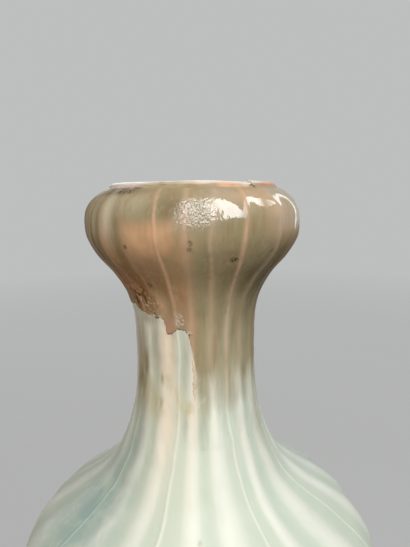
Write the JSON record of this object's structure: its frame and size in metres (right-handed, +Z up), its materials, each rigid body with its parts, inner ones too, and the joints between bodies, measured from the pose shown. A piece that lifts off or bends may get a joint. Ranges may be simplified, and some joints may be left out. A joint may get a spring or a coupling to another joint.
{
  "type": "celadon vase",
  "caption": "Lobed celadon bottle vase with a bulb-shaped mouth, slender neck and globular body on a foot ring, with old overpaint on mouth and neck.",
  "frame": {"origin": "centre of the foot ring on the surface that the vase stands on", "axes": "+Z up along the axis of the vase, -Y towards the viewer of the picture, +X to the right"},
  "size_m": [0.2504, 0.2504, 0.4],
  "materials": {
    "celadon_glaze": "gloss",
    "unglazed_biscuit": "matte",
    "luting_slip": "satin",
    "aged_overpaint": "gloss"
  },
  "bodies": {
    "root": {"foot_ring": "unglazed_biscuit", "base_disc": "unglazed_biscuit", "foot_slip": "luting_slip", "lower_body": "celadon_glaze", "belly_slip": "luting_slip", "upper_body": "celadon_glaze", "collar_slip": "luting_slip", "neck": "celadon_glaze", "flare_slip": "luting_slip", "mouth_bulb": "celadon_glaze", "lip_slip": "luting_slip", "lip_ring": "celadon_glaze", "rim_shard": "celadon_glaze", "overpaint_film": "aged_overpaint"}
  },
  "joints": []
}
